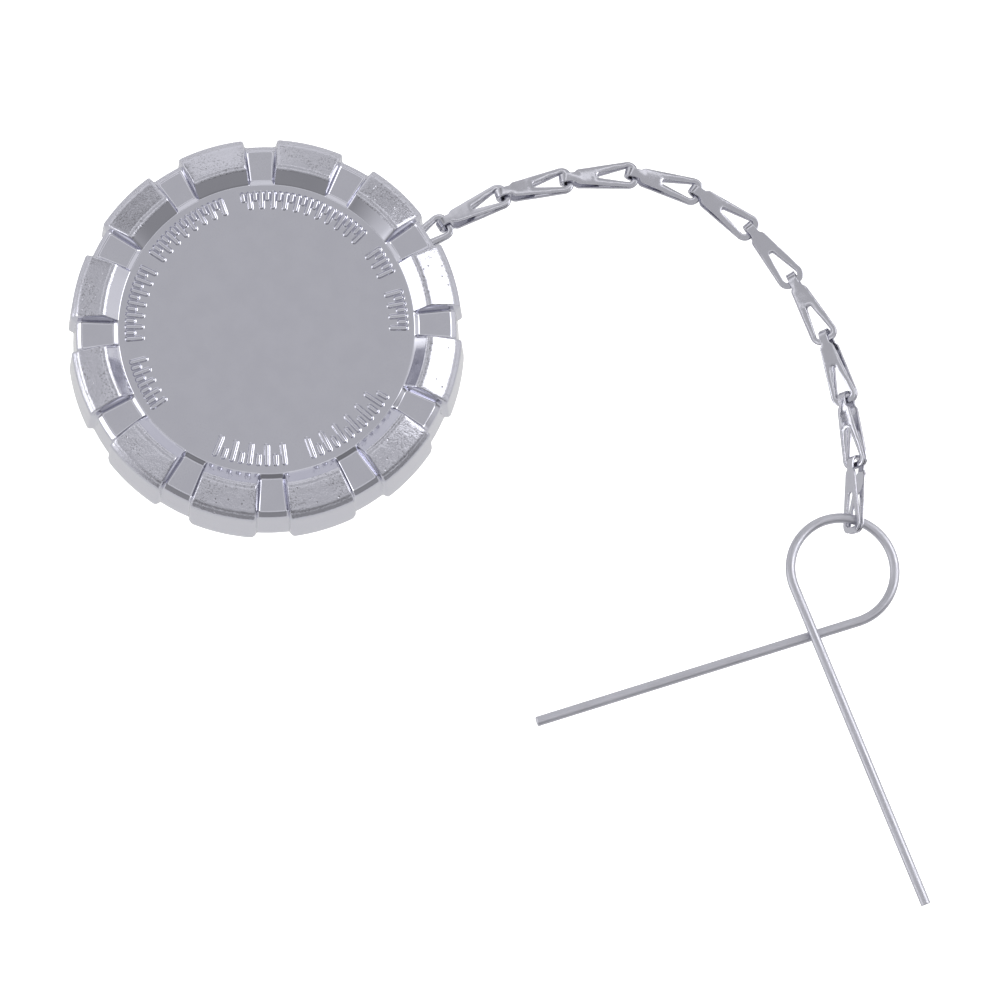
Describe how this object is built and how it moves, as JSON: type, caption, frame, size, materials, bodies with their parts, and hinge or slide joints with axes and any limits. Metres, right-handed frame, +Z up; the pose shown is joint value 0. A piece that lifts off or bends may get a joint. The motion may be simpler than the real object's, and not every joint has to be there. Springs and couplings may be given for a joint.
{
  "type": "fuel tank filler cap",
  "caption": "Threaded fuel filler cap: lobed chromed casting with gasket, swivel under the top, folded-link retaining chain and a bent wire clip that stays inside the filler neck.",
  "frame": {"origin": "centre of the polished top face of the cap", "axes": "+Z up, away from the table the parts lie on (shortest extent); +X from the cap towards the clip along the longest extent; the cap leans on its chain, so its own axis is tipped by 2.6 degrees from +Z"},
  "size_m": [0.2429, 0.2137, 0.0296],
  "materials": {
    "chrome_casting": "bright chrome plate on a die casting, polished disc, as-cast lobes",
    "seal_rubber": "black moulded nitrile rubber, matte",
    "plated_steel": "zinc-plated steel, satin",
    "stamped_chain": "bright plated strip steel, rolled edges",
    "spring_wire": "drawn stainless spring wire, dull satin"
  },
  "bodies": {
    "cap": {"cap_casting": "chrome_casting", "seal_gasket": "seal_rubber", "swivel_screw": "plated_steel", "upper_washer": "plated_steel", "lower_washer": "plated_steel"},
    "swivel": {"swivel_eye": "plated_steel"},
    "link_01": {"chain_link_01": "stamped_chain"},
    "link_02": {"chain_link_02": "stamped_chain"},
    "link_03": {"chain_link_03": "stamped_chain"},
    "link_04": {"chain_link_04": "stamped_chain"},
    "link_05": {"chain_link_05": "stamped_chain"},
    "link_06": {"chain_link_06": "stamped_chain"},
    "link_07": {"chain_link_07": "stamped_chain"},
    "link_08": {"chain_link_08": "stamped_chain"},
    "link_09": {"chain_link_09": "stamped_chain"},
    "link_10": {"chain_link_10": "stamped_chain"},
    "link_11": {"chain_link_11": "stamped_chain"},
    "link_12": {"chain_link_12": "stamped_chain"},
    "link_13": {"chain_link_13": "stamped_chain"},
    "clip": {"retaining_wire": "spring_wire"}
  },
  "joints": [
    {"name": "swivel_turn", "type": "hinge", "parent": "cap", "child": "swivel", "pos_m": [0.00047, 0.00034, -0.01269], "axis": [-0.0369, -0.0263, 0.999], "continuous": true},
    {"name": "hinge_01", "type": "hinge", "parent": "swivel", "child": "link_01", "pos_m": [0.00681, 0.00486, -0.01233], "axis": [-0.5807, 0.8141, 0], "range_deg": [0, 60]},
    {"name": "hinge_02", "type": "hinge", "parent": "link_01", "child": "link_02", "pos_m": [0.02087, 0.01489, -0.02014], "axis": [0.5807, -0.8141, 0], "range_deg": [-60, 0]},
    {"name": "hinge_03", "type": "hinge", "parent": "link_02", "child": "link_03", "pos_m": [0.0363, 0.02589, -0.02003], "axis": [-0.5802, 0.8137, -0.0349], "range_deg": [0, 60]},
    {"name": "hinge_04", "type": "hinge", "parent": "link_03", "child": "link_04", "pos_m": [0.05173, 0.03689, -0.01988], "axis": [0.5742, -0.8068, 0.1392], "range_deg": [-60, 60]},
    {"name": "hinge_05", "type": "hinge", "parent": "link_04", "child": "link_05", "pos_m": [0.06838, 0.04594, -0.01994], "axis": [-0.4493, 0.8253, -0.342], "range_deg": [-60, 60]},
    {"name": "hinge_06", "type": "hinge", "parent": "link_05", "child": "link_06", "pos_m": [0.08672, 0.05068, -0.02003], "axis": [0.244, -0.9391, 0.2419], "range_deg": [-60, 60]},
    {"name": "hinge_07", "type": "hinge", "parent": "link_06", "child": "link_07", "pos_m": [0.10559, 0.0525, -0.0201], "axis": [-0.0954, 0.9857, -0.1392], "range_deg": [-60, 60]},
    {"name": "hinge_08", "type": "hinge", "parent": "link_07", "child": "link_08", "pos_m": [0.12385, 0.04743, -0.02018], "axis": [-0.2663, -0.9614, 0.0698], "range_deg": [-60, 60]},
    {"name": "hinge_09", "type": "hinge", "parent": "link_08", "child": "link_09", "pos_m": [0.13927, 0.03643, -0.02003], "axis": [0.5807, 0.8141, 0], "range_deg": [-60, 60]},
    {"name": "hinge_10", "type": "hinge", "parent": "link_09", "child": "link_10", "pos_m": [0.15133, 0.02181, -0.01988], "axis": [-0.7634, -0.6307, -0.1392], "range_deg": [-60, 60]},
    {"name": "hinge_11", "type": "hinge", "parent": "link_10", "child": "link_11", "pos_m": [0.16037, 0.00515, -0.01987], "axis": [0.8204, 0.4456, 0.3584], "range_deg": [-60, 60]},
    {"name": "hinge_12", "type": "hinge", "parent": "link_11", "child": "link_12", "pos_m": [0.16575, -0.01301, -0.01963], "axis": [-0.7833, -0.2397, -0.5735], "range_deg": [-60, 45]},
    {"name": "hinge_13", "type": "hinge", "parent": "link_12", "child": "link_13", "pos_m": [0.16822, -0.03179, -0.01907], "axis": [0.6475, 0.1079, 0.7544], "range_deg": [-45, 60]},
    {"name": "clip_swing", "type": "hinge", "parent": "link_13", "child": "clip", "pos_m": [0.16725, -0.04766, -0.0188], "axis": [0.9731, -0.2247, -0.0509], "range_deg": [-90, 90]}
  ]
}
